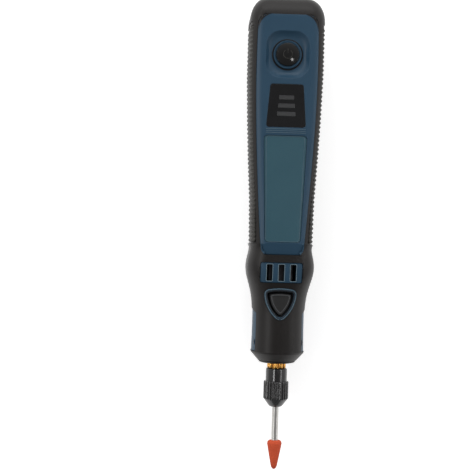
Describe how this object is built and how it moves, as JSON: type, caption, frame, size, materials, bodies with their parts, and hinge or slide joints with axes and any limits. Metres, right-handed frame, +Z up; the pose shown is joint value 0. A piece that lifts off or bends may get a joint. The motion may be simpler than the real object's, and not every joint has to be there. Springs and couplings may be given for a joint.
{
  "type": "rotary tool",
  "caption": "Cordless pen-shaped rotary tool with soft ribbed grips, push button, spindle lock, keyless chuck and a pointed grinding bit.",
  "frame": {"origin": "under the middle of the tool's box, on the surface that it lies on", "axes": "+Y from the bit to the tail along the spindle, +Z up out of the front panel, +X across"},
  "size_m": [0.033, 0.2058, 0.0311],
  "materials": {
    "soft_cover": "matte soft-touch black",
    "grip_rubber": "matte ribbed rubber, warm black",
    "blue_shell": "moulded satin blue plastic",
    "teal_inlay": "satin teal film, blank",
    "gloss_black": "polished black plastic",
    "lens_black": "dark glossy lens",
    "light_guide": "unlit grey light guides",
    "black_plastic": "fine textured black plastic",
    "board_green": "solder masked laminate",
    "lamp_white": "clear lamp bodies",
    "cell_wrap": "shrink sleeve over a steel can",
    "nickel": "plated strip",
    "bright_steel": "bright turned steel",
    "can_steel": "zinc plated drawn steel",
    "magnet_grey": "sintered magnet",
    "copper": "enamelled copper wire",
    "brass": "turned brass",
    "chuck_black": "black oxide steel, glossy",
    "stone": "orange-red aluminium oxide stone, matte and grainy"
  },
  "bodies": {
    "housing": {"front_shell": "blue_shell", "back_shell": "blue_shell", "front_overmold": "soft_cover", "back_overmold": "soft_cover", "left_grip_strip": "grip_rubber", "right_grip_strip": "grip_rubber", "front_inlay": "teal_inlay", "indicator_lens": "lens_black", "indicator_bars": "light_guide", "indicator_lamps": "lamp_white", "switch_body": "black_plastic", "main_board": "board_green", "charge_board": "board_green", "charging_socket": "nickel", "battery_cell": "cell_wrap", "battery_tabs": "nickel", "motor_can": "can_steel", "motor_end_cap": "black_plastic", "motor_magnets": "magnet_grey", "motor_bush": "brass", "motor_brushes": "copper", "motor_terminals": "nickel", "bearing_outer_race": "bright_steel", "bearing_balls": "bright_steel", "lock_spring": "bright_steel", "housing_screws": "can_steel"},
    "power_button": {"power_button": "gloss_black", "switch_plunger": "black_plastic"},
    "spindle_lock": {"lock_button": "black_plastic", "lock_pin": "bright_steel"},
    "spindle": {"spindle": "brass", "grub_screw": "chuck_black", "bearing_inner_race": "bright_steel", "motor_shaft": "bright_steel", "rotor_core": "can_steel", "rotor_coils": "copper", "commutator": "copper", "chuck_body": "chuck_black"},
    "sleeve": {"chuck_sleeve": "chuck_black"},
    "jaw_1": {"jaw_1": "bright_steel"},
    "jaw_2": {"jaw_2": "bright_steel"},
    "jaw_3": {"jaw_3": "bright_steel"},
    "bit": {"bit_shank": "bright_steel", "grinding_stone": "stone"}
  },
  "joints": [
    {"name": "power_press", "type": "slide", "parent": "housing", "child": "power_button", "axis": [0, 0, -1], "range_m": [0, 0.0005], "stiffness_N_per_m": 3000, "springref_m": -0.0002},
    {"name": "lock_press", "type": "slide", "parent": "housing", "child": "spindle_lock", "axis": [0, 0, -1], "range_m": [0, 0.002], "stiffness_N_per_m": 800, "springref_m": -0.001, "deforming": ["lock_spring"]},
    {"name": "spindle_spin", "type": "hinge", "parent": "housing", "child": "spindle", "pos_m": [0, -0.05545, 0.015], "axis": [0, 1, 0], "continuous": true},
    {"name": "sleeve_turn", "type": "hinge", "parent": "spindle", "child": "sleeve", "pos_m": [0, -0.06745, 0.015], "axis": [0, 1, 0], "range_deg": [0, 540]},
    {"name": "jaw_1_slide", "type": "slide", "parent": "spindle", "child": "jaw_1", "axis": [0, 0.9659, 0.2588], "range_m": [0, 0.0019]},
    {"name": "jaw_2_slide", "type": "slide", "parent": "spindle", "child": "jaw_2", "axis": [-0.2241, 0.9659, -0.1294], "range_m": [0, 0.0019]},
    {"name": "jaw_3_slide", "type": "slide", "parent": "spindle", "child": "jaw_3", "axis": [0.2241, 0.9659, -0.1294], "range_m": [0, 0.0019]},
    {"name": "bit_slide", "type": "slide", "parent": "spindle", "child": "bit", "axis": [0, -1, 0], "range_m": [0, 0.008]}
  ],
  "couplings": [
    {"joint": "jaw_1_slide", "follows": "sleeve_turn", "m_per_rad": 0.0002015},
    {"joint": "jaw_2_slide", "follows": "sleeve_turn", "m_per_rad": 0.0002015},
    {"joint": "jaw_3_slide", "follows": "sleeve_turn", "m_per_rad": 0.0002015}
  ]
}
